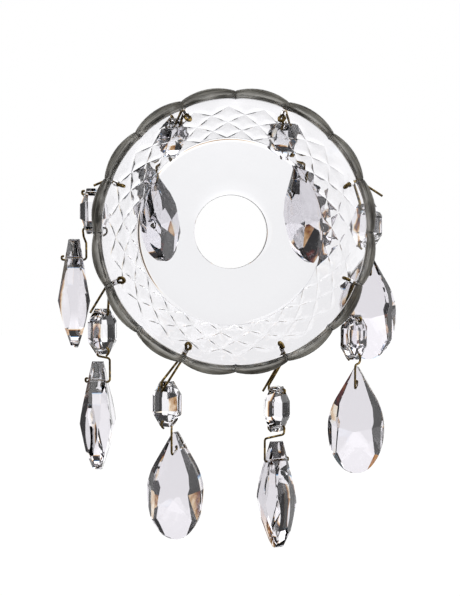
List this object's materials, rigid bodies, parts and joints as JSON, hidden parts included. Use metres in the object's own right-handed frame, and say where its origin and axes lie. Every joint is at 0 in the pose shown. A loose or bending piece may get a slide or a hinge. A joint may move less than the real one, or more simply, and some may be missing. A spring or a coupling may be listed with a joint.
{
  "type": "miniature chandelier",
  "caption": "Round scalloped glass candle ring with a wide bore, cut diamonds round its wall, and faceted crystal drops hung on beads and bent wire pins.",
  "frame": {"origin": "centre of the candle bore, half way through the dish's floor", "axes": "the dish's axis is Y with its open side facing -Y, and the pendants hang along -Z"},
  "size_m": [0.1257, 0.0457, 0.1675],
  "materials": {
    "dish_glass": "clear pressed and cut glass, faintly grey at its rim",
    "bead_crystal": "clear faceted crystal",
    "drop_crystal": "clear faceted crystal",
    "pin_brass": "aged brass wire"
  },
  "bodies": {
    "dish": {"glass_dish": "dish_glass"},
    "upper_pin_1": {"upper_pin_1": "pin_brass"},
    "octagon_bead_1": {"octagon_bead_1": "bead_crystal"},
    "lower_pin_1": {"lower_pin_1": "pin_brass"},
    "crystal_drop_1": {"crystal_drop_1": "drop_crystal"},
    "upper_pin_2": {"upper_pin_2": "pin_brass"},
    "octagon_bead_2": {"octagon_bead_2": "bead_crystal"},
    "lower_pin_2": {"lower_pin_2": "pin_brass"},
    "crystal_drop_2": {"crystal_drop_2": "drop_crystal"},
    "upper_pin_3": {"upper_pin_3": "pin_brass"},
    "octagon_bead_3": {"octagon_bead_3": "bead_crystal"},
    "lower_pin_3": {"lower_pin_3": "pin_brass"},
    "crystal_drop_3": {"crystal_drop_3": "drop_crystal"},
    "upper_pin_4": {"upper_pin_4": "pin_brass"},
    "octagon_bead_4": {"octagon_bead_4": "bead_crystal"},
    "lower_pin_4": {"lower_pin_4": "pin_brass"},
    "crystal_drop_4": {"crystal_drop_4": "drop_crystal"},
    "upper_pin_5": {"upper_pin_5": "pin_brass"},
    "octagon_bead_5": {"octagon_bead_5": "bead_crystal"},
    "lower_pin_5": {"lower_pin_5": "pin_brass"},
    "crystal_drop_5": {"crystal_drop_5": "drop_crystal"},
    "upper_pin_6": {"upper_pin_6": "pin_brass"},
    "octagon_bead_6": {"octagon_bead_6": "bead_crystal"},
    "lower_pin_6": {"lower_pin_6": "pin_brass"},
    "crystal_drop_6": {"crystal_drop_6": "drop_crystal"},
    "upper_pin_7": {"upper_pin_7": "pin_brass"},
    "octagon_bead_7": {"octagon_bead_7": "bead_crystal"},
    "lower_pin_7": {"lower_pin_7": "pin_brass"},
    "crystal_drop_7": {"crystal_drop_7": "drop_crystal"},
    "upper_pin_8": {"upper_pin_8": "pin_brass"},
    "octagon_bead_8": {"octagon_bead_8": "bead_crystal"},
    "lower_pin_8": {"lower_pin_8": "pin_brass"},
    "crystal_drop_8": {"crystal_drop_8": "drop_crystal"}
  },
  "joints": [
    {"name": "pin_swivel_1", "type": "hinge", "parent": "dish", "child": "upper_pin_1", "pos_m": [0.0177, -0.01338, 0.04273], "axis": [0.2882, 0.6578, 0.6958], "range_deg": [0, 10]},
    {"name": "bead_swing_1", "type": "hinge", "parent": "upper_pin_1", "child": "octagon_bead_1", "pos_m": [0.02003, -0.00143, 0.03938], "axis": [0.2882, 0.6578, 0.6958], "range_deg": [0, 10]},
    {"name": "lower_pin_swing_1", "type": "hinge", "parent": "octagon_bead_1", "child": "lower_pin_1", "pos_m": [0.02062, 0.00715, 0.03101], "axis": [0.2882, 0.6578, 0.6958], "range_deg": [0, 12]},
    {"name": "drop_swing_1", "type": "hinge", "parent": "lower_pin_1", "child": "crystal_drop_1", "pos_m": [0.0284, 0.0092, 0.0192], "axis": [-0.4384, 0.8988, 0], "range_deg": [-25, 0]},
    {"name": "pin_swivel_2", "type": "hinge", "parent": "dish", "child": "upper_pin_2", "pos_m": [0.04273, -0.01338, 0.0177], "axis": [0.6958, 0.6578, 0.2882], "range_deg": [-2, 10]},
    {"name": "bead_swing_2", "type": "hinge", "parent": "upper_pin_2", "child": "octagon_bead_2", "pos_m": [0.0502, -0.0064, 0.0084], "axis": [0.7478, 0.6639, 0], "range_deg": [-2, 12]},
    {"name": "lower_pin_swing_2", "type": "hinge", "parent": "octagon_bead_2", "child": "lower_pin_2", "pos_m": [0.0502, -0.0064, -0.0036], "axis": [0.7478, 0.6639, 0], "range_deg": [-3, 12]},
    {"name": "drop_swing_2", "type": "hinge", "parent": "lower_pin_2", "child": "crystal_drop_2", "pos_m": [0.052, 0, -0.016], "axis": [0, 1, 0], "range_deg": [-20, 20]},
    {"name": "pin_swivel_3", "type": "hinge", "parent": "dish", "child": "upper_pin_3", "pos_m": [0.04273, -0.01338, -0.0177], "axis": [0.6958, 0.6578, -0.2882], "range_deg": [-8, 8]},
    {"name": "bead_swing_3", "type": "hinge", "parent": "upper_pin_3", "child": "octagon_bead_3", "pos_m": [0.0441, -0.0123, -0.0323], "axis": [0.5592, -0.829, 0], "range_deg": [-10, 10]},
    {"name": "lower_pin_swing_3", "type": "hinge", "parent": "octagon_bead_3", "child": "lower_pin_3", "pos_m": [0.0441, -0.0123, -0.0443], "axis": [0.5592, -0.829, 0], "range_deg": [-12, 12]},
    {"name": "drop_swing_3", "type": "hinge", "parent": "lower_pin_3", "child": "crystal_drop_3", "pos_m": [0.0452, -0.0121, -0.0567], "axis": [0.309, 0.9511, 0], "range_deg": [-20, 20]},
    {"name": "pin_swivel_4", "type": "hinge", "parent": "dish", "child": "upper_pin_4", "pos_m": [0.0177, -0.01338, -0.04273], "axis": [0.2882, 0.6578, -0.6958], "range_deg": [-6, 6]},
    {"name": "bead_swing_4", "type": "hinge", "parent": "upper_pin_4", "child": "octagon_bead_4", "pos_m": [0.0159, -0.0109, -0.0585], "axis": [0.7547, -0.6561, 0], "range_deg": [-8, 8]},
    {"name": "lower_pin_swing_4", "type": "hinge", "parent": "octagon_bead_4", "child": "lower_pin_4", "pos_m": [0.0159, -0.0109, -0.0705], "axis": [0.7547, -0.6561, 0], "range_deg": [-10, 10]},
    {"name": "drop_swing_4", "type": "hinge", "parent": "lower_pin_4", "child": "crystal_drop_4", "pos_m": [0.0158, -0.0109, -0.084], "axis": [0.9903, 0.1392, 0], "range_deg": [-15, 15]},
    {"name": "pin_swivel_5", "type": "hinge", "parent": "dish", "child": "upper_pin_5", "pos_m": [-0.0177, -0.01338, -0.04273], "axis": [-0.2882, 0.6578, -0.6958], "range_deg": [-6, 6]},
    {"name": "bead_swing_5", "type": "hinge", "parent": "upper_pin_5", "child": "octagon_bead_5", "pos_m": [-0.0243, -0.0109, -0.056], "axis": [0.5878, 0.809, 0], "range_deg": [-8, 8]},
    {"name": "lower_pin_swing_5", "type": "hinge", "parent": "octagon_bead_5", "child": "lower_pin_5", "pos_m": [-0.0243, -0.0109, -0.068], "axis": [0.5878, 0.809, 0], "range_deg": [-10, 10]},
    {"name": "drop_swing_5", "type": "hinge", "parent": "lower_pin_5", "child": "crystal_drop_5", "pos_m": [-0.0214, -0.0109, -0.0799], "axis": [0.342, 0.9397, 0], "range_deg": [-15, 15]},
    {"name": "pin_swivel_6", "type": "hinge", "parent": "dish", "child": "upper_pin_6", "pos_m": [-0.04273, -0.01338, -0.0177], "axis": [-0.6958, 0.6578, -0.2882], "range_deg": [-10, 0]},
    {"name": "bead_swing_6", "type": "hinge", "parent": "upper_pin_6", "child": "octagon_bead_6", "pos_m": [-0.0474, -0.0094, -0.0295], "axis": [-0.6018, 0.7986, 0], "range_deg": [-12, 0]},
    {"name": "lower_pin_swing_6", "type": "hinge", "parent": "octagon_bead_6", "child": "lower_pin_6", "pos_m": [-0.0474, -0.0094, -0.0415], "axis": [-0.6018, 0.7986, 0], "range_deg": [-12, 12]},
    {"name": "drop_swing_6", "type": "hinge", "parent": "lower_pin_6", "child": "crystal_drop_6", "pos_m": [-0.0492, -0.0086, -0.054], "axis": [-0.9903, 0.1392, 0], "range_deg": [-20, 20]},
    {"name": "pin_swivel_7", "type": "hinge", "parent": "dish", "child": "upper_pin_7", "pos_m": [-0.04273, -0.01338, 0.0177], "axis": [-0.6958, 0.6578, 0.2882], "range_deg": [0, 6]},
    {"name": "bead_swing_7", "type": "hinge", "parent": "upper_pin_7", "child": "octagon_bead_7", "pos_m": [-0.0508, -0.0056, 0.0136], "axis": [-0.9877, 0.1564, 0], "range_deg": [0, 8]},
    {"name": "lower_pin_swing_7", "type": "hinge", "parent": "octagon_bead_7", "child": "lower_pin_7", "pos_m": [-0.0508, -0.0056, 0.0016], "axis": [-0.9877, 0.1564, 0], "range_deg": [-3, 12]},
    {"name": "drop_swing_7", "type": "hinge", "parent": "lower_pin_7", "child": "crystal_drop_7", "pos_m": [-0.0574, -0.0048, -0.0099], "axis": [-1, 0, 0], "range_deg": [-20, 20]},
    {"name": "pin_swivel_8", "type": "hinge", "parent": "dish", "child": "upper_pin_8", "pos_m": [-0.0177, -0.01338, 0.04273], "axis": [-0.2882, 0.6578, 0.6958], "range_deg": [-10, 0]},
    {"name": "bead_swing_8", "type": "hinge", "parent": "upper_pin_8", "child": "octagon_bead_8", "pos_m": [-0.0213, -0.00255, 0.0399], "axis": [-0.2882, 0.6578, 0.6958], "range_deg": [-10, 0]},
    {"name": "lower_pin_swing_8", "type": "hinge", "parent": "octagon_bead_8", "child": "lower_pin_8", "pos_m": [-0.02349, 0.00556, 0.03133], "axis": [-0.2882, 0.6578, 0.6958], "range_deg": [-12, 0]},
    {"name": "drop_swing_8", "type": "hinge", "parent": "lower_pin_8", "child": "crystal_drop_8", "pos_m": [-0.0304, 0.008, 0.0182], "axis": [-0.7986, 0.6018, 0], "range_deg": [-25, 0]}
  ]
}
